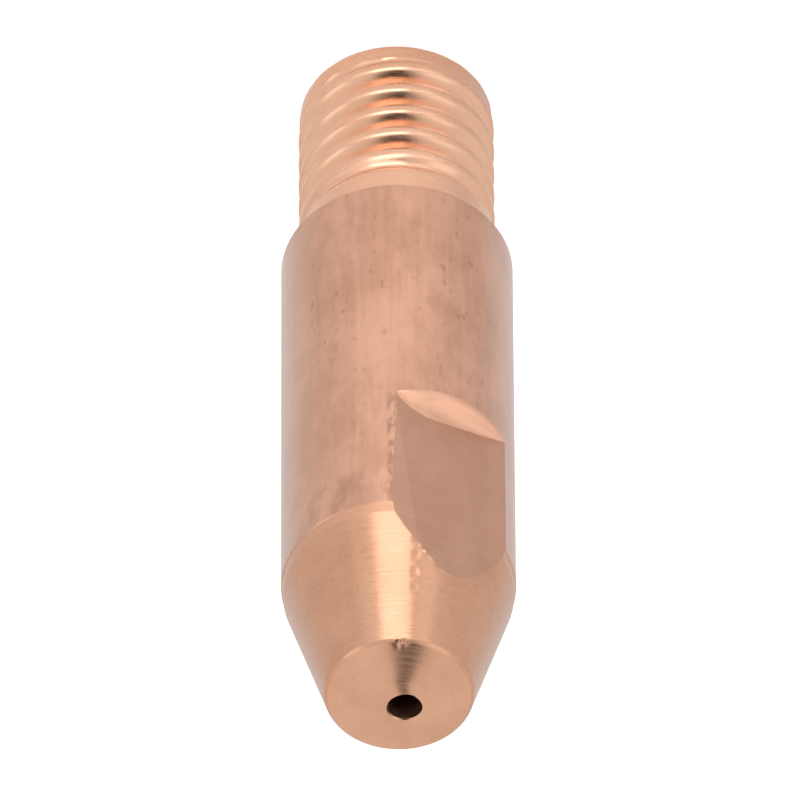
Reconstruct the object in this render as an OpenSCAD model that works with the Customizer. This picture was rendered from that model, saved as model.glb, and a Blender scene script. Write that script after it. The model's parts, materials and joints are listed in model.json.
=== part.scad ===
// Welding contact tip, turned from one copper bar: a rolled thread that screws
// into the tip holder, a plain body with two spanner flats, and a conical nose
// with the wire bore in its convex face. It stands on its threaded end, with
// the axis along Z, the nose up and the flats facing along X. Millimetres.

/* [Thread] */
// Major diameter of the thread
thread_d = 5.95; // [5.6:0.01:6.3]
// Advance of the thread in one turn
thread_pitch = 1; // [0.75:0.05:1.25]
// Depth from crest to root
thread_depth = 0.47; // [0.35:0.01:0.6]
// Shape of the groove: 1 is an even wave, more leaves broader crests
groove_shape = 1.5; // [1:0.1:2]
// Angle from the first flat at which a crest leaves the threaded end
thread_start = -78; // [-180:1:180]
// Length from the threaded end to the shoulder
thread_l = 7.4; // [6:0.1:10]
// Plain neck between the thread and the shoulder
neck_l = 0.95; // [0.8:0.05:2]
// Length over which the thread dies out into the neck
runout_l = 1.4; // [0.5:0.1:1.8]
// Lead-in chamfer on the threaded end
lead_chamfer = 0.45; // [0.2:0.05:0.6]

/* [Body] */
// Diameter of the body
body_d = 7; // [6.6:0.05:8]
// Length of the body at its full diameter
body_l = 14.3; // [13:0.1:18]
// Chamfer on the shoulder's outer edge
shoulder_chamfer = 0.06; // [0.02:0.01:0.2]

/* [Nose] */
// Length of the narrow turned band where the body meets the nose
band_l = 0.4; // [0.2:0.05:0.8]
// How far the turned band steps in from the body, on the radius
band_drop = 0.06; // [0.02:0.01:0.12]
// Length of the cone, from the band to the face's rim
cone_l = 4.4; // [3:0.1:6]
// Diameter of the face at its rim
face_d = 4.35; // [3.6:0.05:5]
// Chamfer on the face's rim
rim_chamfer = 0.1; // [0.04:0.01:0.2]
// How far the convex face rises from its rim to the bore's edge
face_rise = 0.45; // [0.1:0.05:0.8]

/* [Spanner flats] */
// Distance across the two flats
flats_af = 5.86; // [5.6:0.02:6.4]
// Distance from the shoulder to where the ramp leaves the body
flats_start = 9.2; // [7:0.05:12]
// Length of the ramp from the body down to the flat
flats_ramp = 0.6; // [0.2:0.05:1.5]

/* [Wire bore] */
// Diameter of the bore
bore_d = 1; // [0.7:0.05:1.6]
// How far the bore lies off the tip's axis
bore_offset = 0.18; // [0:0.01:0.2]
// Direction of that offset, in degrees from the first flat
bore_offset_angle = -77; // [-180:1:180]
// Diameter of the conical wire entry at the threaded end
entry_d = 2.6; // [1.8:0.1:3]
// Included angle of the wire entry
entry_angle = 60; // [40:5:120]

/* [Hidden] */

$fn = 96;
cut = 1;              // overshoot of every cutting tool
turn_steps = 16;      // rings of the thread in one turn
ring_steps = 18;      // corners of each ring
relief = 0.08;        // how far the last crest ducks under the neck's edge
seat = 0.3;           // how far the thread's solid reaches into the neck

thread_r = thread_d / 2;
body_r = body_d / 2;
face_r = face_d / 2;
bore_r = bore_d / 2;
entry_r = entry_d / 2;

// Stations along the axis
runout_z = thread_l - neck_l;
nose_z = thread_l + body_l;
cone_z = nose_z + band_l;
rim_z = cone_z + cone_l;
flats_z = thread_l + flats_start;
face_slope = face_rise / (face_r - bore_r);
top_z = rim_z + face_slope * face_r;
entry_depth = (entry_r - bore_r) / tan(entry_angle / 2);

// Depth of the groove at height z: full along the thread, none at the neck
function groove(z) = thread_depth * min(1, max(0, (runout_z - z) / runout_l));

// Radius that the lead-in chamfer and the relief by the neck allow at height z
function crest(z) = min(thread_r - lead_chamfer + z, thread_r, thread_r - relief + max(0, runout_z - z));

// One ring of the thread: a rounded groove on one side, turned with the helix
function ring(z) = [
    for (i = [0 : ring_steps - 1])
        let (a = 360 * i / ring_steps)
        let (wave = pow((1 + cos(a)) / 2, groove_shape))
        let (r = min(crest(z), thread_r - groove(z) * wave))
        let (turned = a + 180 + thread_start + 360 * z / thread_pitch)
        [r * cos(turned), r * sin(turned), z]
];

// Rounded right-hand thread as a stack of rings, closed at both ends
module thread_solid() {
    relief_z = runout_z - relief;
    turns = ceil(relief_z / thread_pitch * turn_steps);
    heights = concat([for (k = [0 : turns]) relief_z * k / turns], [runout_z, runout_z + seat]);
    rings = len(heights) - 1;
    points = [for (z = heights) each ring(z)];
    sides = [
        for (k = [0 : rings - 1], i = [0 : ring_steps - 1])
            let (next = (i + 1) % ring_steps)
            let (low = k * ring_steps, high = low + ring_steps)
            each [
                [low + i, high + i, high + next],
                [low + i, high + next, low + next]
            ]
    ];
    bottom = [for (i = [0 : ring_steps - 1]) i];
    top = [for (i = [ring_steps - 1 : -1 : 0]) rings * ring_steps + i];
    polyhedron(points, concat([bottom], sides, [top]), convexity = 10);
}

// Neck, body, cone and convex face, turned in one profile
module turned_body() {
    rotate_extrude()
        polygon([
            [0, runout_z],
            [thread_r, runout_z],
            [thread_r, thread_l],
            [body_r - shoulder_chamfer, thread_l],
            [body_r, thread_l + shoulder_chamfer],
            [body_r, nose_z],
            [body_r - band_drop, cone_z],
            [face_r + rim_chamfer / 2, rim_z - rim_chamfer],
            [face_r - rim_chamfer / 2, rim_z],
            [0, top_z]
        ]);
}

// Material milled away to leave two opposite flats, open towards the nose and
// ending in a short ramp on the shoulder's side
module flats_cutter() {
    flat_r = flats_af / 2;
    steepness = flats_ramp / (body_r - flat_r);
    for (side = [0, 180])
        rotate(side)
            rotate([90, 0, 0])
                linear_extrude(body_d + 2 * cut, center = true)
                    polygon([
                        [flat_r, flats_z + flats_ramp],
                        [body_r + cut, flats_z - cut * steepness],
                        [body_r + cut, top_z + cut],
                        [flat_r, top_z + cut]
                    ]);
}

// Through bore and the conical entry that guides the wire into it
module wire_path() {
    rotate(bore_offset_angle)
        translate([bore_offset, 0, 0]) {
            translate([0, 0, -cut])
                cylinder(r = bore_r, h = top_z + 2 * cut);
            translate([0, 0, -cut])
                cylinder(r1 = entry_r + cut * tan(entry_angle / 2), r2 = bore_r, h = entry_depth + cut);
        }
}

module contact_tip() {
    color([0.78, 0.53, 0.41])
        difference() {
            union() {
                thread_solid();
                turned_body();
            }
            flats_cutter();
            wire_path();
        }
}

contact_tip();
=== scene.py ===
import bmesh
import bpy
import json
import math
from mathutils import Matrix, Vector, noise


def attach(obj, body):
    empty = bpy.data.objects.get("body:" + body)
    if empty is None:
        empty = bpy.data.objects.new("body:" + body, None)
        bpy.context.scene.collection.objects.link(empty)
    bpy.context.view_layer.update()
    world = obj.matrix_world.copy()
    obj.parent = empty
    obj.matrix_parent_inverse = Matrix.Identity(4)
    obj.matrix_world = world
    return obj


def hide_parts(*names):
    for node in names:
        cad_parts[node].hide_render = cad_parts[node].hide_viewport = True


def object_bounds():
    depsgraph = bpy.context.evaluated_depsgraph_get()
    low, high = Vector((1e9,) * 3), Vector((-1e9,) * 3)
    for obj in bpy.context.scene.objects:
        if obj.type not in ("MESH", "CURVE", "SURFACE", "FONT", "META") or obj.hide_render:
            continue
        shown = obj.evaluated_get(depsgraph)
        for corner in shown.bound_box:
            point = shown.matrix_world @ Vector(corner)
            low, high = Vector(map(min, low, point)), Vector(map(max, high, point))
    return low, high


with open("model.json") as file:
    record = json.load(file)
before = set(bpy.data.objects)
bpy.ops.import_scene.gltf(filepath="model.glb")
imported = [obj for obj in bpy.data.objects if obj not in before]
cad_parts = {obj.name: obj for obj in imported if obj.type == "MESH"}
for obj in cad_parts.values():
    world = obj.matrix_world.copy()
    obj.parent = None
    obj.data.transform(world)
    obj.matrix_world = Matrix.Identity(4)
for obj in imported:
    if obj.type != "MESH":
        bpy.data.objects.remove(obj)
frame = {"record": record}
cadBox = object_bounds()
mm = 0.001
print("frame loaded, box", [tuple(corner) for corner in cadBox])

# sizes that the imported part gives
mounts = {mount["name"]: mount for mount in frame["record"]["mounts"]}
threadR = mounts["holder_thread"]["dims"]["r_mm"] * mm
shoulderZ = mounts["shoulder_seat"]["pos_m"][2]
flatX = mounts["spanner_flat_front"]["pos_m"][0]
boreR = mounts["wire_bore"]["dims"]["r_mm"] * mm
boreAt = Vector(mounts["wire_bore"]["pos_m"])
bodyR = cadBox[1].y

finishNames = ["rolledThread", "drawnBar", "turnedNose", "facedEnd", "milledFlat", "millWall", "paintedShadeBore"]
finishIndex = {name: index for index, name in enumerate(finishNames)}


def polar(co):
    return math.hypot(co.x, co.y), math.atan2(co.y, co.x)


def setRadius(vert, radius):
    now = math.hypot(vert.co.x, vert.co.y)
    vert.co.x *= radius / now
    vert.co.y *= radius / now


def loopAt(bm, height, nearR, reach=0.2 * mm):
    # open edges that lie at one height, close to one radius
    found = []
    for edge in bm.edges:
        if not edge.is_boundary:
            continue
        if all(abs(v.co.z - height) < 1e-7 and abs(polar(v.co)[0] - nearR) < reach for v in edge.verts):
            found.append(edge)
    return found


def roundedProfile(corners, arcSteps=4):
    # each corner is radius, height and how far its rounding reaches
    spots = [Vector((r * mm, 0, z * mm)) for r, z, blend in corners]
    points = []
    for index, (r, z, blend) in enumerate(corners):
        here = spots[index]
        if blend == 0:
            points.append(here)
            continue
        back = (spots[index - 1] - here).normalized() * blend * mm
        ahead = (spots[index + 1] - here).normalized() * blend * mm
        for step in range(arcSteps + 1):
            t = step / arcSteps
            points.append(here + back * (1 - t) ** 2 + ahead * t ** 2)
    return points


# body, nose and face, turned in one profile (millimetres)
shell = {
    "steps": 288,
    "ringGap": 0.13,
    "bodyLength": 14.3,
    "bandLength": 0.4,
    "bandDrop": 0.06,
    "bandStep": 0.03,
    "coneLength": 4.4,
    "faceR": 2.175,
    "rimChamfer": 0.1,
    "faceRise": 0.45,
    "neckFillet": 0.08,
    "shoulderChamfer": 0.06,
    "faceInnerR": 0.9,
}
noseZ = shoulderZ + shell["bodyLength"] * mm
coneZ = noseZ + shell["bandLength"] * mm
rimZ = coneZ + shell["coneLength"] * mm
faceR = shell["faceR"] * mm
faceSlope = shell["faceRise"] * mm / (faceR - boreR)


def faceHeight(radius):
    return rimZ + faceSlope * (faceR - radius)


def buildShell(bm):
    s = shell
    top = rimZ / mm
    cham = s["rimChamfer"]
    sink = s["shoulderChamfer"]
    corners = [
        (threadR / mm, shoulderZ / mm - s["neckFillet"], 0),
        (threadR / mm, shoulderZ / mm, s["neckFillet"] * 0.6),
        (bodyR / mm - sink, shoulderZ / mm, 0.02),
        (bodyR / mm, shoulderZ / mm + sink, 0.03),
        (bodyR / mm, noseZ / mm, 0.012),
        (bodyR / mm - s["bandStep"], noseZ / mm + 0.03, 0.01),
        (bodyR / mm - s["bandDrop"], coneZ / mm, 0.03),
        (s["faceR"] + cham / 2, top - cham, 0.03),
        (s["faceR"] - cham / 2, top, 0.03),
        (s["faceInnerR"], faceHeight(s["faceInnerR"] * mm) / mm, 0),
    ]
    points = roundedProfile(corners)
    verts = [bm.verts.new(p) for p in points]
    edges = [bm.edges.new(pair) for pair in zip(verts, verts[1:])]
    for edge in edges:
        cuts = int(edge.calc_length() / (s["ringGap"] * mm))
        if cuts:
            bmesh.ops.subdivide_edges(bm, edges=[edge], cuts=cuts)
    bmesh.ops.spin(
        bm, geom=bm.verts[:] + bm.edges[:], cent=(0, 0, 0), axis=(0, 0, 1), dvec=(0, 0, 0),
        angle=2 * math.pi, steps=s["steps"], use_merge=True,
    )
    bmesh.ops.remove_doubles(bm, verts=bm.verts[:], dist=1e-8)
    print("shell turned,", len(bm.faces), "faces")


# two spanner flats, each ending in a ramp towards the shoulder (millimetres)
flats = {
    "rampMiddle": 9.2,
    "rampEnds": 9.42,
    "rampRun": 0.72,
    "rampRows": 10,
    "hollow": 1.5,
    "burrDip": 0.035,
    "wornFrom": 10.2,
    "wornTo": 14.9,
    "wornOnFlat": 0.66,
    "wornOnBody": 0.22,
}
halfChord = math.sqrt(bodyR ** 2 - flatX ** 2)
rampSlope = (flats["rampEnds"] - flats["rampMiddle"]) * mm / (bodyR - flatX)
rampEndZ = shoulderZ + flats["rampEnds"] * mm


def rampPoint(side, y, share):
    # share runs from 0 at the ramp's edge on the body to 1 where it dies out on the flat
    f = flats
    if abs(y) > halfChord - 0.005 * mm:
        return Vector((side * flatX, y, rampEndZ))  # the ramp's two corners
    bodyX = math.sqrt(bodyR ** 2 - y ** 2)
    depth = bodyX - flatX
    edgeZ = rampEndZ - rampSlope * depth
    along = (halfChord - side * y) / (2 * halfChord)
    run = f["rampRun"] * mm * max(0, 1 - along) ** 0.8 * math.sqrt(min(1, along / 0.28))
    fold = f["burrDip"] * mm * depth / (bodyR - flatX) * math.exp(-((share - 0.12) / 0.06) ** 2)
    x = flatX + depth * (1 - share) ** f["hollow"] - fold
    return Vector((side * x, y, edgeZ + (rampEndZ + run - edgeZ) * share))


def cutFlat(bm, side):
    flatAt = Vector((side * flatX, 0, 0))
    outward = Vector((side, 0, 0))
    rampNormal = Vector((side * rampSlope, 0, 1)).normalized()
    rampAt = Vector((side * flatX, 0, rampEndZ))

    def ahead(co):
        return (co - rampAt).dot(rampNormal)

    def openEdges(test):
        return [e for e in bm.edges if e.is_boundary and all(test(v.co) for v in e.verts)]

    near = [f for f in bm.faces if f.calc_center_median().x * side > flatX * 0.7]
    nearGeom = near + list({e for f in near for e in f.edges}) + list({v for f in near for v in f.verts})
    bmesh.ops.bisect_plane(bm, geom=nearGeom, dist=1e-8, plane_co=rampAt, plane_no=rampNormal)
    upper = [
        f for f in bm.faces
        if f.calc_center_median().x * side > flatX * 0.7 and ahead(f.calc_center_median()) > 0
    ]
    apart = bmesh.ops.split(bm, geom=upper)["geom"]
    bmesh.ops.bisect_plane(bm, geom=apart, dist=1e-8, plane_co=flatAt, plane_no=outward, clear_outer=True)
    arc = openEdges(lambda co: abs(ahead(co)) < 1e-8 and co.x * side > flatX - 0.3 * mm)
    arc = [e for e in arc if max(v.co.x * side for v in e.verts) > flatX + 1e-7]
    arcGeom = arc + list({v for e in arc for v in e.verts})
    bmesh.ops.bisect_plane(bm, geom=arcGeom, dist=1e-8, plane_co=flatAt, plane_no=outward)
    bmesh.ops.remove_doubles(bm, verts=[v for v in bm.verts if v.is_boundary], dist=1e-7)
    edges = openEdges(lambda co: abs(ahead(co)) < 1e-7 and co.x * side > flatX - 1e-7)
    rampFaces = []
    for row in range(1, flats["rampRows"] + 1):
        made = bmesh.ops.extrude_edge_only(bm, edges=edges)["geom"]
        edges = [g for g in made if isinstance(g, bmesh.types.BMEdge)]
        rampFaces += [g for g in made if isinstance(g, bmesh.types.BMFace)]
        for vert in {v for e in edges for v in e.verts}:
            vert.co = rampPoint(side, vert.co.y, row / flats["rampRows"])
    for face in rampFaces:
        face.material_index = finishIndex["millWall"]
    bmesh.ops.remove_doubles(bm, verts=[v for v in bm.verts if v.is_boundary], dist=1e-7)
    rim = openEdges(lambda co: abs(co.x * side - flatX) < 1e-7 and ahead(co) > -1e-7)
    flatFaces = bmesh.ops.edgeloop_fill(bm, edges=rim)["faces"]
    for face in flatFaces:
        face.material_index = finishIndex["milledFlat"]
    print("flat cut on side", side, "rim edges", len(rim), "faces", len(flatFaces), "ramp faces", len(rampFaces))


def wearCorner(bm):
    # the first flat's far corner is worn off more and more towards the nose
    f = flats
    turn = math.atan2(halfChord, flatX)
    onBody = turn + f["wornOnBody"] * mm / bodyR
    low = Vector((flatX, halfChord, shoulderZ + f["wornFrom"] * mm))
    highBody = Vector((bodyR * math.cos(onBody), bodyR * math.sin(onBody), shoulderZ + f["wornTo"] * mm))
    highFlat = Vector((flatX, halfChord - f["wornOnFlat"] * mm, shoulderZ + f["wornTo"] * mm))
    outward = (highFlat - low).cross(highBody - low).normalized()
    if outward.x < 0:
        outward = -outward
    near = []
    for face in bm.faces:
        middle = face.calc_center_median()
        onFlat = face.material_index == finishIndex["milledFlat"] and middle.x > 0
        byEdge = middle.y > 0.3 * halfChord and middle.x > 0.6 * flatX and middle.z > low.z
        if onFlat or byEdge:
            near.append(face)
    nearGeom = near + list({e for g in near for e in g.edges}) + list({v for g in near for v in g.verts})
    cut = bmesh.ops.bisect_plane(bm, geom=nearGeom, dist=1e-8, plane_co=low, plane_no=outward, clear_outer=True)
    rim = [e for e in bm.edges if e.is_boundary and all(abs((v.co - low).dot(outward)) < 1e-7 for v in e.verts)]
    made = bmesh.ops.edgeloop_fill(bm, edges=rim)["faces"]
    for face in made:
        face.material_index = finishIndex["milledFlat"]
    print("corner worn, rim edges", len(rim), "faces", len(made))


# rolled thread, one profile swept along the helix (millimetres, degrees)
thread = {
    "pitch": 1.0,
    "depth": 0.47,
    "crestWidth": 1.5,
    "profileSteps": 20,
    "turnSteps": 120,
    "crestStart": -78.0,
    "neckLength": 0.95,
    "runout": 1.4,
    "lead": 0.45,
    "taper": 0.1,
    "taperLength": 1.5,
    "firstTurn": 0.06,
    "firstLength": 0.9,
}


def buildThread(bm):
    t = thread
    pitch = t["pitch"] * mm
    topZ = shoulderZ - (shell["neckFillet"] + 0.04) * mm
    turns = math.ceil(topZ / pitch) + 2
    crestHere = -pitch * t["crestStart"] / 360
    startZ = crestHere - 1.5 * pitch
    verts = []
    for index in range(t["profileSteps"] + 1):
        share = index / t["profileSteps"]
        groove = t["depth"] * mm * (0.5 + 0.5 * math.cos(2 * math.pi * share)) ** t["crestWidth"]
        verts.append(bm.verts.new((threadR - groove, 0, startZ + pitch * share)))
    edges = [bm.edges.new(pair) for pair in zip(verts, verts[1:])]
    bmesh.ops.spin(
        bm, geom=verts + edges, cent=(0, 0, 0), axis=(0, 0, 1), dvec=(0, 0, pitch / t["turnSteps"]),
        angle=2 * math.pi, steps=t["turnSteps"],
    )
    oneTurn = bm.verts[:] + bm.edges[:] + bm.faces[:]
    for lap in range(1, turns):
        made = bmesh.ops.duplicate(bm, geom=oneTurn)["geom"]
        bmesh.ops.translate(bm, verts=[g for g in made if isinstance(g, bmesh.types.BMVert)], vec=(0, 0, lap * pitch))
    bmesh.ops.remove_doubles(bm, verts=bm.verts[:], dist=1e-7)
    bmesh.ops.bisect_plane(
        bm, geom=bm.verts[:] + bm.edges[:] + bm.faces[:], dist=1e-8, plane_co=(0, 0, 0), plane_no=(0, 0, 1),
        clear_inner=True,
    )
    bmesh.ops.bisect_plane(
        bm, geom=bm.verts[:] + bm.edges[:] + bm.faces[:], dist=1e-8, plane_co=(0, 0, topZ), plane_no=(0, 0, 1),
        clear_outer=True,
    )
    fadeEnd = shoulderZ - t["neckLength"] * mm
    for vert in bm.verts:
        radius = polar(vert.co)[0]
        z = vert.co.z
        fade = min(1, max(0, (fadeEnd - z) / (t["runout"] * mm)))
        fade = fade * fade * (3 - 2 * fade)
        fade *= min(1, max(t["firstTurn"], (z / mm - t["firstLength"]) / 0.4))
        radius = threadR - (threadR - radius) * fade
        ease = max(0, 1 - z / (t["taperLength"] * mm))
        radius -= t["taper"] * mm * ease * ease
        setRadius(vert, min(radius, threadR - t["lead"] * mm + z))
    for face in bm.faces:
        face.material_index = finishIndex["rolledThread"]
    print("thread rolled,", len(bm.faces), "faces")
    return topZ


# wire bore and its entry (millimetres, degrees)
bore = {
    "lipWidth": 0.04,
    "lipDrop": 0.05,
    "entryR": 1.3,
    "entryAngle": 60,
    "pointAt": math.radians(-68),
    "point": 0.05,
    "flatAt": math.radians(-147),
    "flatten": 0.06,
}


def lobe(angle, middle, power):
    return max(0, math.cos(angle - middle)) ** power


def boreRing(bm, radius, height, ragged=False):
    # height is a number, or None to lie on the convex face
    made = bmesh.ops.create_circle(
        bm, cap_ends=False, segments=shell["steps"], radius=radius,
        matrix=Matrix.Translation((boreAt.x, boreAt.y, height or 0)),
    )["verts"]
    centre = Vector((boreAt.x, boreAt.y, 0))
    for vert in made:
        arm = vert.co - centre
        if ragged:
            angle = math.atan2(arm.y, arm.x)
            stretch = 1 + bore["point"] * lobe(angle, bore["pointAt"], 8)
            stretch += bore["point"] * 0.5 * lobe(angle, bore["pointAt"] + 2.8, 8)
            stretch -= bore["flatten"] * lobe(angle, bore["flatAt"], 4)
            vert.co.x = centre.x + arm.x * stretch
            vert.co.y = centre.y + arm.y * stretch
        if height is None:
            vert.co.z = faceHeight(polar(vert.co)[0])
    return list({e for v in made for e in v.link_edges})


def buildBore(bm):
    b = bore
    entryDepth = (b["entryR"] * mm - boreR) / math.tan(math.radians(b["entryAngle"] / 2))
    topEdge = loopAt(bm, faceHeight(shell["faceInnerR"] * mm), shell["faceInnerR"] * mm)
    lip = boreRing(bm, boreR + b["lipWidth"] * mm, None, True)
    mouth = boreRing(bm, boreR, faceHeight(boreR) - b["lipDrop"] * mm, True)
    deep = boreRing(bm, boreR, entryDepth)
    entry = boreRing(bm, b["entryR"] * mm, 0.0)
    bottomEdge = [e for e in loopAt(bm, 0.0, threadR - thread["lead"] * mm, 0.4 * mm)]
    print("bore loops", len(topEdge), len(lip), len(mouth), len(deep), len(entry), len(bottomEdge))
    for first, second, finish in (
        (topEdge, lip, "facedEnd"),
        (lip, mouth, "facedEnd"),
        # the bore's wall and entry take the finish with the painted shade of the hole
        (mouth, deep, "paintedShadeBore"),
        (deep, entry, "paintedShadeBore"),
        (entry, bottomEdge, "turnedNose"),
    ):
        made = bmesh.ops.bridge_loops(bm, edges=first + second)
        for face in made["faces"]:
            face.material_index = finishIndex[finish]


def nameFinishes(bm):
    # the shell's finishes, by where each face lies
    for face in bm.faces:
        if face.material_index:
            continue
        middle = face.calc_center_median()
        if middle.z < shoulderZ + 1e-6:
            face.material_index = finishIndex["turnedNose"]
        elif middle.z < noseZ:
            face.material_index = finishIndex["drawnBar"]
        elif middle.z < rimZ - 1e-6:
            face.material_index = finishIndex["turnedNose"]
        else:
            face.material_index = finishIndex["facedEnd"]


# marks of use and of the cutters: heights in millimetres, angles in degrees from the first flat
marks = {
    "drawn": 0.0012,
    "burrStrip": {"angle": (33.0, 38.2), "z": (16.6, 22.2), "height": 0.07},
    "flatBurr": {"z": (21.6, 24.4), "height": 0.06},
    "ticks": {"angle": (20.0, 25.5), "z": (22.5, 24.9), "height": 0.06},
    "rimBurr": {"angle": (24.0, 38.0), "reach": 0.12, "height": 0.045},
}


def window(value, limits, ease=0.15):
    # 1 between the limits, falling to 0 at both
    low, high = limits
    share = (value - low) / (high - low)
    return min(1, max(0, share / ease)) * min(1, max(0, (1 - share) / ease))


def addMarks(bm):
    m = marks
    for vert in bm.verts:
        radius, angle = polar(vert.co)
        degrees = math.degrees(angle)
        x, y, z = vert.co / mm
        onBar = abs(radius - bodyR) < 0.002 * mm
        onFlat = abs(vert.co.x - flatX) < 1e-7
        out = 0.0
        if onBar and not onFlat:
            out -= m["drawn"] * (0.5 + 0.5 * noise.noise((x * 4, y * 4, z * 0.15)))
            strip = m["burrStrip"]
            there = window(degrees, strip["angle"]) * window(z, strip["z"])
            out += strip["height"] * there * noise.noise((x * 5, y * 5, z * 2.4 + 4))
        if noseZ < vert.co.z < rimZ - 0.2 * mm and not onFlat:
            tick = m["ticks"]
            there = window(degrees, tick["angle"], 0.3) * window(z, tick["z"])
            out -= tick["height"] * there * max(0, noise.noise((x * 2, y * 2, z * 7)))
        setRadius(vert, radius + out * mm)
        if onFlat and y > 0.3:
            burr = m["flatBurr"]
            vert.co.x += burr["height"] * mm * window(z, burr["z"]) * noise.noise((y * 6, 0, z * 6))
        rim = m["rimBurr"]
        if abs(radius - faceR) < rim["reach"] * mm and abs(vert.co.z - rimZ) < rim["reach"] * mm:
            vert.co.z += rim["height"] * mm * window(degrees, rim["angle"]) * noise.noise((x * 9, y * 9, 2))
    print("marks added")


def buildTip():
    bm = bmesh.new()
    buildShell(bm)
    for side in (1, -1):
        cutFlat(bm, side)
    wearCorner(bm)
    nameFinishes(bm)
    addMarks(bm)
    threadMesh = bmesh.new()
    topZ = buildThread(threadMesh)
    holder = bpy.data.meshes.new("threadHolder")
    threadMesh.to_mesh(holder)
    threadMesh.free()
    bm.from_mesh(holder)
    bpy.data.meshes.remove(holder)
    neckEdges = loopAt(bm, topZ, threadR) + loopAt(bm, shoulderZ - shell["neckFillet"] * mm, threadR)
    for face in bmesh.ops.bridge_loops(bm, edges=neckEdges)["faces"]:
        face.material_index = finishIndex["rolledThread"]
    buildBore(bm)
    bmesh.ops.remove_doubles(bm, verts=bm.verts[:], dist=1e-8)
    bmesh.ops.recalc_face_normals(bm, faces=bm.faces[:])
    for face in bm.faces:
        face.smooth = True
    flatKinds = (finishIndex["milledFlat"], finishIndex["millWall"])
    for edge in bm.edges:
        kinds = {f.material_index for f in edge.link_faces}
        if edge.calc_face_angle(0) > math.radians(26) or (len(kinds) > 1 and kinds & set(flatKinds)):
            edge.smooth = False
    print("open edges left:", sum(1 for e in bm.edges if e.is_boundary))
    mesh = bpy.data.meshes.new("copperTip")
    bm.to_mesh(mesh)
    bm.free()
    tip = bpy.data.objects.new("copperTip", mesh)
    bpy.context.scene.collection.objects.link(tip)
    even = tip.modifiers.new("evenNormals", "WEIGHTED_NORMAL")
    even.keep_sharp = True
    even.weight = 70
    return tip


tip = buildTip()


# copper finishes: colours are linear, lengths in millimetres; each "edge" colour is a painted sheen, blended in towards
# grazing angles
finishes = {
    "rolledThread": {
        "dull": (0.88, 0.495, 0.32), "bright": (0.95, 0.565, 0.39), "edge": (0.90, 0.64, 0.52),
        "rough": (0.20, 0.28), "grain": (1.2, 1.2, 9.0), "lines": 0.4, "bump": 0.002,
    },
    "drawnBar": {
        "dull": (0.59, 0.315, 0.205), "bright": (0.80, 0.45, 0.318), "edge": (0.84, 0.68, 0.62),
        "rough": (0.32, 0.42), "grain": (4.0, 4.0, 0.22), "lines": 0.32, "bump": 0.003, "pits": 0.3,
        "darkMottles": [
            # darker mottled patches: a strip beside the first flat's edge and a smear above the nose on the left
            {"turn": 35.5, "half": 0.2, "z": (16.5, 22.3), "grain": (5.0, 5.0, 2.0), "share": 0.62},
            {"turn": 70.0, "half": 1.9, "z": (19.9, 22.9), "grain": (2.2, 2.2, 0.9), "share": 0.3},
        ],
    },
    "turnedNose": {
        "dull": (0.71, 0.37, 0.23), "bright": (0.83, 0.455, 0.295), "edge": (0.84, 0.62, 0.52),
        "rough": (0.26, 0.34), "grain": (0.9, 0.9, 11.0), "lines": 0.4, "bump": 0.007, "drag": 0.7,
    },
    "facedEnd": {
        "dull": (0.78, 0.415, 0.258), "bright": (0.89, 0.495, 0.325), "edge": (0.88, 0.62, 0.50),
        "rough": (0.24, 0.30), "grain": None, "lines": 0.3, "bump": 0.0008, "drag": 0.85,
    },
    "milledFlat": {
        "dull": (0.57, 0.31, 0.21), "bright": (0.67, 0.385, 0.275), "edge": (0.80, 0.62, 0.54),
        "rough": (0.38, 0.48), "grain": (0.3, 0.3, 11.0), "lines": 0.5, "bump": 0.003,
    },
    "millWall": {
        "dull": (0.86, 0.46, 0.30), "bright": (0.95, 0.55, 0.39), "edge": (0.90, 0.66, 0.55),
        "rough": (0.26, 0.36), "grain": (6.0, 1.0, 6.0), "lines": 0.5, "bump": 0.003,
    },
    # painted shade: the bore's wall gets a near-black copper colour for the shade deep inside the hole
    "paintedShadeBore": {
        "dull": (0.16, 0.08, 0.05), "bright": (0.30, 0.15, 0.09), "edge": (0.30, 0.17, 0.11),
        "rough": (0.55, 0.75), "grain": (3.0, 3.0, 3.0), "lines": 0.5, "bump": 0.003,
    },
}


class Tree:
    def __init__(self, owner):
        self.nodes = owner.node_tree.nodes
        self.links = owner.node_tree.links

    def add(self, kind, settings=None, **wires):
        node = self.nodes.new(kind)
        for key, value in (settings or {}).items():
            setattr(node, key, value)
        for key, value in wires.items():
            self.plug(node.inputs[key.replace("_", " ")], value)
        return node

    def plug(self, socket, value):
        if isinstance(value, bpy.types.NodeSocket):
            self.links.new(value, socket)
        else:
            socket.default_value = value

    def maths(self, operation, *values):
        node = self.nodes.new("ShaderNodeMath")
        node.operation = operation
        for socket, value in zip(node.inputs, values):
            self.plug(socket, value)
        return node.outputs[0]

    def grain(self, coords, scale, detail=3.0, rough=0.6):
        # noise stretched along one direction; scale is features per millimetre
        mapped = self.add("ShaderNodeMapping", Vector=coords, Scale=[n / mm for n in scale])
        return self.add("ShaderNodeTexNoise", Vector=mapped.outputs[0], Scale=1.0, Detail=detail, Roughness=rough).outputs[0]

    def spread(self, value, low, high, toLow=0.0, toHigh=1.0):
        node = self.add("ShaderNodeMapRange", {"interpolation_type": "SMOOTHSTEP"}, Value=value)
        for key, number in (("From Min", low), ("From Max", high), ("To Min", toLow), ("To Max", toHigh)):
            node.inputs[key].default_value = number
        return node.outputs[0]

    def blend(self, share, first, second):
        node = self.add("ShaderNodeMix", {"data_type": "RGBA"})
        self.plug(node.inputs[0], share)
        for socket, value in ((node.inputs[6], first), (node.inputs[7], second)):
            self.plug(socket, (*value, 1) if isinstance(value, tuple) else value)
        return node.outputs[2]


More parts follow.
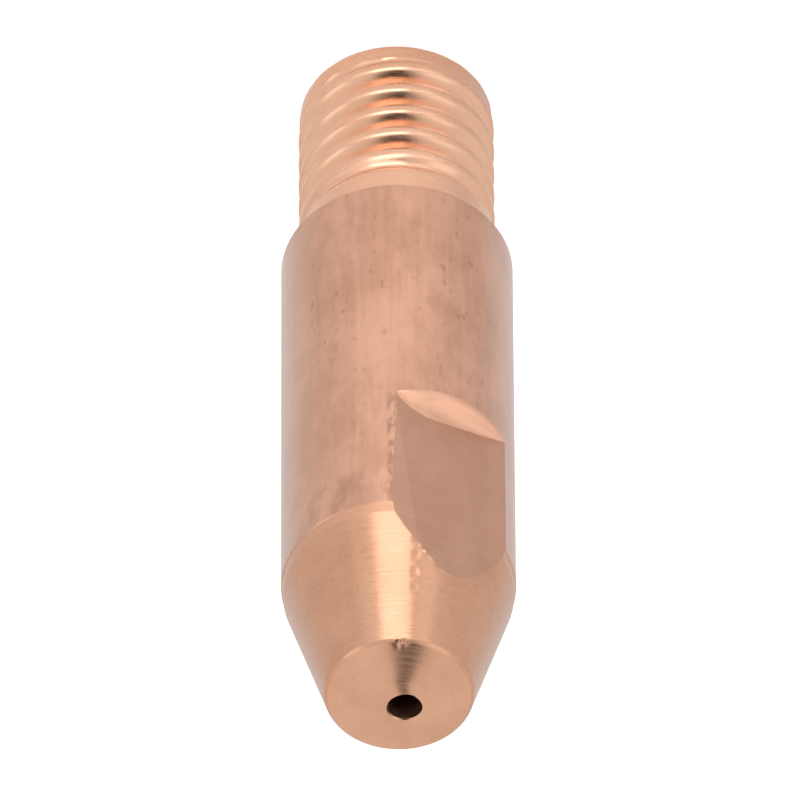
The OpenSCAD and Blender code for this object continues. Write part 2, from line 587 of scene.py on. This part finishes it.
def mottleMask(tree, coords, mottleSpec):
    # a mottled patch on the side that faces one turn (degrees from the first flat, millimetres)
    turn = math.radians(mottleSpec["turn"])
    place = tree.add("ShaderNodeSeparateXYZ", Vector=coords).outputs
    sideX = tree.maths("MULTIPLY", place["X"], -math.sin(turn))
    offset = tree.maths("ABSOLUTE", tree.maths("MULTIPLY_ADD", place["Y"], math.cos(turn), sideX))
    frontX = tree.maths("MULTIPLY", place["X"], math.cos(turn))
    front = tree.spread(tree.maths("MULTIPLY_ADD", place["Y"], math.sin(turn), frontX), 0, 1 * mm)
    low, high = [z * mm for z in mottleSpec["z"]]
    ease = (high - low) * 0.2
    run = tree.maths("MULTIPLY", tree.spread(place["Z"], low, low + ease), tree.spread(place["Z"], high, high - ease))
    strip = tree.maths("MULTIPLY", tree.spread(offset, mottleSpec["half"] * mm, mottleSpec["half"] * 0.5 * mm), front)
    mottle = tree.spread(tree.grain(coords, mottleSpec["grain"], 3.0, 0.6), 0.42, 0.6, 0.0, mottleSpec["share"])
    return tree.maths("MULTIPLY", tree.maths("MULTIPLY", run, strip), mottle)


def finish(name):
    spec = finishes[name]
    material = bpy.data.materials.new(name)
    material.use_nodes = True
    tree = Tree(material)
    shader = tree.nodes["Principled BSDF"]
    coords = tree.add("ShaderNodeTexCoord").outputs["Object"]
    if spec["grain"]:
        lines = tree.grain(coords, spec["grain"])
    else:
        flatCoords = tree.add("ShaderNodeVectorMath", {"operation": "MULTIPLY"})
        tree.plug(flatCoords.inputs[0], coords)
        flatCoords.inputs[1].default_value = (1, 1, 0)
        length = tree.add("ShaderNodeVectorMath", {"operation": "LENGTH"})
        tree.plug(length.inputs[0], flatCoords.outputs[0])
        ring = tree.add("ShaderNodeTexNoise", {"noise_dimensions": "1D"}, W=length.outputs["Value"])
        ring.inputs["Scale"].default_value = 9.0 / mm
        ring.inputs["Detail"].default_value = 3.0
        lines = ring.outputs[0]
    patches = tree.grain(coords, (0.7, 0.7, 0.45), 4.0)
    lineTone = tree.maths("MULTIPLY", tree.spread(lines, 0.3, 0.7), spec["lines"])
    tone = tree.maths("MULTIPLY_ADD", tree.spread(patches, 0.3, 0.7), 1 - spec["lines"], lineTone)
    colour = tree.blend(tone, spec["dull"], spec["bright"])
    height = lines
    if spec.get("pits"):
        specks = tree.grain(coords, (4.2, 4.2, 2.0), 2.0, 0.5)
        height = tree.add("ShaderNodeSeparateXYZ", Vector=coords).outputs["Z"]
        mask = tree.maths("MULTIPLY", tree.spread(specks, 0.60, 0.78), tree.spread(height, 22 * mm, 13 * mm, 0.35, 1.0))
        colour = tree.blend(tree.maths("MULTIPLY", mask, spec["pits"]), colour, (0.20, 0.09, 0.055))
        height = tree.maths("SUBTRACT", lines, mask)
    for mottleSpec in spec.get("darkMottles", []):
        # the colour turns darker inside each mottled patch
        colour = tree.blend(mottleMask(tree, coords, mottleSpec), colour, (0.36, 0.17, 0.105))
    # painted sheen: towards grazing angles the colour turns to the paler "edge" colour, in place of the metal's
    # brighter reflection there
    facing = tree.add("ShaderNodeLayerWeight", Blend=0.5).outputs["Facing"]
    colour = tree.blend(tree.spread(facing, 0.45, 1.0, 0.0, 0.85), colour, spec["edge"])
    shader.inputs["Metallic"].default_value = 1.0
    tree.plug(shader.inputs["Base Color"], colour)
    tree.plug(shader.inputs["Roughness"], tree.spread(lines, 0.35, 0.65, *spec["rough"]))
    bump = tree.add("ShaderNodeBump", Height=height)
    bump.inputs["Strength"].default_value = 1.0
    bump.inputs["Distance"].default_value = spec["bump"] * mm
    tree.plug(shader.inputs["Normal"], bump.outputs[0])
    if spec.get("drag"):
        shader.inputs["Anisotropic"].default_value = spec["drag"]
        shader.inputs["Anisotropic Rotation"].default_value = 0.25
        around = tree.add("ShaderNodeTangent", {"direction_type": "RADIAL", "axis": "Z"})
        tree.plug(shader.inputs["Tangent"], around.outputs[0])
    return material


for name in finishNames:
    tip.data.materials.append(finish(name))

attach(tip, "root")
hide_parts("contact_tip")

# camera: the tip's axis leans towards it, threaded end away (degrees, pixels, body radii)
camera = {
    "lean": 41.53,
    "roll": 0.30,
    "flatTurn": 57.2,
    "pixelsPerRadius": 115.85,
    "shoulderPixel": (396.94, 270.87),
    "imagePixels": 800,
    "distance": 200.0,
}
lean = math.radians(camera["lean"])
roll = math.radians(camera["roll"])
flatTurn = math.radians(camera["flatTurn"])
axis = Vector((0, 0, 1))
across = Vector((math.cos(flatTurn), -math.sin(flatTurn), 0))
towards = axis.cross(across)
right = across * math.cos(roll) - towards * math.cos(lean) * math.sin(roll) + axis * math.sin(lean) * math.sin(roll)
down = -across * math.sin(roll) - towards * math.cos(lean) * math.cos(roll) + axis * math.sin(lean) * math.cos(roll)
forward = -towards * math.sin(lean) - axis * math.cos(lean)
half = camera["imagePixels"] / 2
shift = [(p - half) / camera["pixelsPerRadius"] for p in camera["shoulderPixel"]]
shoulderPoint = Vector((0, 0, shoulderZ))
eye = shoulderPoint - (right * shift[0] + down * shift[1] + forward * camera["distance"]) * bodyR

cameraData = bpy.data.cameras.new("photoCamera")
cameraData.sensor_width = 36
cameraData.lens = 36 * camera["pixelsPerRadius"] * camera["distance"] / camera["imagePixels"]
cameraObject = bpy.data.objects.new("photoCamera", cameraData)
bpy.context.scene.collection.objects.link(cameraObject)
turn = Matrix((right, -down, -forward)).transposed()
cameraObject.matrix_world = Matrix.Translation(eye) @ turn.to_4x4()
bpy.context.scene.camera = cameraObject
print("camera set, lens", round(cameraData.lens))

# floor
floorSettings = {"halfSize": 600, "colour": (0.81, 0.81, 0.81, 1), "lift": 0.65}
floorMesh = bpy.data.meshes.new("paleFloor")
floorBm = bmesh.new()
bmesh.ops.create_grid(floorBm, x_segments=1, y_segments=1, size=floorSettings["halfSize"] * mm)
floorBm.to_mesh(floorMesh)
floorBm.free()
floor = bpy.data.objects.new("paleFloor", floorMesh)
bpy.context.scene.collection.objects.link(floor)
floorMaterial = bpy.data.materials.new("paleFloor")
floorMaterial.use_nodes = True
nodes = floorMaterial.node_tree.nodes
links = floorMaterial.node_tree.links
nodes.clear()
diffuse = nodes.new("ShaderNodeBsdfDiffuse")
diffuse.inputs["Color"].default_value = floorSettings["colour"]
glow = nodes.new("ShaderNodeEmission")
path = nodes.new("ShaderNodeLightPath")
lift = nodes.new("ShaderNodeMath")
lift.operation = "MULTIPLY"
lift.inputs[1].default_value = floorSettings["lift"]
links.new(path.outputs["Is Camera Ray"], lift.inputs[0])
links.new(lift.outputs[0], glow.inputs["Strength"])
both = nodes.new("ShaderNodeAddShader")
links.new(diffuse.outputs[0], both.inputs[0])
links.new(glow.outputs[0], both.inputs[1])
output = nodes.new("ShaderNodeOutputMaterial")
links.new(both.outputs[0], output.inputs["Surface"])
floorMesh.materials.append(floorMaterial)

# studio: a pale room with one dark strip overhead, as a camera stand leaves in a light tent
room = {
    "pale": 0.03,
    "side": 0.80,
    "back": 0.92,
    "backLean": -37.0,
    "front": 1.0,
    "frontLean": 60.0,
    "gapShift": 0.12,
    "gapLow": 0.70,
    "gapHigh": 0.85,
    "dark": 0.025,
    "stripLean": 17.0,
    "stripAlong": 0.60,
    "stripAcross": 0.205,
    "stripFlare": 0.10,
    "stripShift": 0.085,
}
world = bpy.data.worlds.new("paleRoom")
bpy.context.scene.world = world
world.use_nodes = True
nodes = world.node_tree.nodes
links = world.node_tree.links
nodes.clear()
coords = nodes.new("ShaderNodeTexCoord")


def mathNode(operation, first, second=None, third=None):
    node = nodes.new("ShaderNodeMath")
    node.operation = operation
    for socket, value in zip(node.inputs, (first, second, third)):
        if value is None:
            continue
        if isinstance(value, (int, float)):
            socket.default_value = value
        else:
            links.new(value, socket)
    return node.outputs[0]


def alongDirection(direction):
    node = nodes.new("ShaderNodeVectorMath")
    node.operation = "DOT_PRODUCT"
    links.new(coords.outputs["Generated"], node.inputs[0])
    node.inputs[1].default_value = direction
    return node.outputs["Value"]


def easeNode(value, low, high):
    node = nodes.new("ShaderNodeMapRange")
    node.interpolation_type = "SMOOTHSTEP"
    node.inputs["From Min"].default_value = low
    node.inputs["From Max"].default_value = high
    links.new(value, node.inputs["Value"])
    return node.outputs["Result"]


def leaning(degrees):
    # direction in the upright plane through the camera, leaning from the axis
    return axis * math.cos(math.radians(degrees)) + towards * math.sin(math.radians(degrees))


sideways = alongDirection(across)
stripRun = alongDirection(leaning(room["stripLean"] + 90))
stripWidth = mathNode("MULTIPLY_ADD", stripRun, room["stripFlare"], room["stripAcross"])
acrossShare = mathNode("DIVIDE", mathNode("SUBTRACT", sideways, room["stripShift"]), stripWidth)
alongShare = mathNode("DIVIDE", stripRun, room["stripAlong"])
squares = mathNode("ADD", mathNode("POWER", acrossShare, 2.0), mathNode("POWER", alongShare, 2.0))
above = mathNode("GREATER_THAN", alongDirection(leaning(room["stripLean"])), 0.0)
topStrip = mathNode("MULTIPLY", easeNode(mathNode("SQRT", squares), 1.25, 0.75), above)
sideShare = easeNode(mathNode("ABSOLUTE", sideways), 0.42, 0.68)
backShare = easeNode(alongDirection(leaning(room["backLean"])), 0.6, 0.82)
sideLevel = mathNode("MULTIPLY_ADD", sideShare, room["side"], room["pale"])
frontShare = easeNode(alongDirection(leaning(room["frontLean"])), 0.46, 0.64)
fromGap = mathNode("ABSOLUTE", mathNode("SUBTRACT", sideways, room["gapShift"]))
gapOpen = easeNode(fromGap, 0.14, 0.25)
frontSides = mathNode("MULTIPLY", frontShare, gapOpen)
endLevel = mathNode("MULTIPLY_ADD", backShare, room["back"], mathNode("MULTIPLY", frontSides, room["front"]))
openLevel = mathNode("MAXIMUM", sideLevel, endLevel)
shade = mathNode("MULTIPLY", topStrip, mathNode("SUBTRACT", openLevel, room["dark"]))
roomLevel = mathNode("SUBTRACT", openLevel, shade)
path = nodes.new("ShaderNodeLightPath")
mirrored = mathNode("MAXIMUM", path.outputs["Is Glossy Ray"], path.outputs["Is Transmission Ray"])
overhead = easeNode(alongDirection(axis), room["gapLow"], room["gapHigh"])
gapShade = mathNode("MULTIPLY", overhead, mathNode("SUBTRACT", 1.0, gapOpen))
darkShare = mathNode("MAXIMUM", topStrip, gapShade)
whiteShown = mathNode("MULTIPLY", mirrored, mathNode("SUBTRACT", 1.0, darkShare))
seenWhite = mathNode("MAXIMUM", whiteShown, path.outputs["Is Camera Ray"])
level = mathNode("MAXIMUM", roomLevel, seenWhite)
sky = nodes.new("ShaderNodeBackground")
links.new(level, sky.inputs["Strength"])
output = nodes.new("ShaderNodeOutputWorld")
links.new(sky.outputs[0], output.inputs["Surface"])

# lamps (millimetres from the tip, watts): a low one brightens the floor before the tip
lamps = [
    {
        "name": "frontBox", "at": towards * 70 + across * -5 + axis * 22, "aim": axis * 20,
        "size": (44, 40), "watts": 0.0102, "mirrored": True,
    },
    {
        "name": "frontGlow", "at": towards * 60 + across * 36 + axis * 20, "aim": axis * 20,
        "size": (24, 40), "watts": 0.0011, "mirrored": True,
    },
    {
        "name": "leftGlow", "at": towards * 60 + across * -38 + axis * 20, "aim": axis * 20,
        "size": (22, 40), "watts": 0.0006, "mirrored": True,
    },
    {
        "name": "rampBox", "at": towards * 46 + across * 72 + axis * 70, "aim": axis * 18,
        "size": (50, 50), "watts": 0.0026, "mirrored": True,
    },
    {
        "name": "leftBox", "at": towards * 40 + across * -85 + axis * 62, "aim": axis * 22,
        "size": (50, 50), "watts": 0.0035, "mirrored": True,
    },
    {
        "name": "floorLamp", "at": towards * 26 + across * -2 + axis * 22, "aim": towards * 15,
        "size": (14, 14), "watts": 0.0026, "mirrored": False,
    },
]


def addLamp(spec):
    data = bpy.data.lights.new(spec["name"], "AREA")
    data.shape = "RECTANGLE"
    data.size, data.size_y = [side * mm for side in spec["size"]]
    data.energy = spec["watts"]
    lamp = bpy.data.objects.new(spec["name"], data)
    bpy.context.scene.collection.objects.link(lamp)
    lamp.location = spec["at"] * mm
    lamp.rotation_euler = ((spec["aim"] - spec["at"]) * mm).to_track_quat("-Z", "Y").to_euler()
    lamp.visible_glossy = spec["mirrored"]


# broad suns from behind, whose shadows darken the floor at the front right and, less, the front left
suns = [
    {"name": "backLeftSun", "shadowTurn": 66.0, "rise": 45.0, "spread": 28.0, "strength": 0.75},
    {"name": "backRightSun", "shadowTurn": -56.0, "rise": 45.0, "spread": 28.0, "strength": 0.2},
]


def addSun(spec):
    data = bpy.data.lights.new(spec["name"], "SUN")
    data.energy = spec["strength"]
    data.angle = math.radians(spec["spread"])
    lamp = bpy.data.objects.new(spec["name"], data)
    bpy.context.scene.collection.objects.link(lamp)
    turnTo = math.radians(spec["shadowTurn"])
    rise = math.radians(spec["rise"])
    level = towards * math.cos(turnTo) + across * math.sin(turnTo)
    ray = level * math.cos(rise) - axis * math.sin(rise)
    lamp.rotation_euler = ray.to_track_quat("-Z", "Y").to_euler()
    lamp.visible_glossy = False


for spec in suns:
    addSun(spec)
for spec in lamps:
    addLamp(spec)

bpy.context.scene.view_settings.view_transform = "Standard"
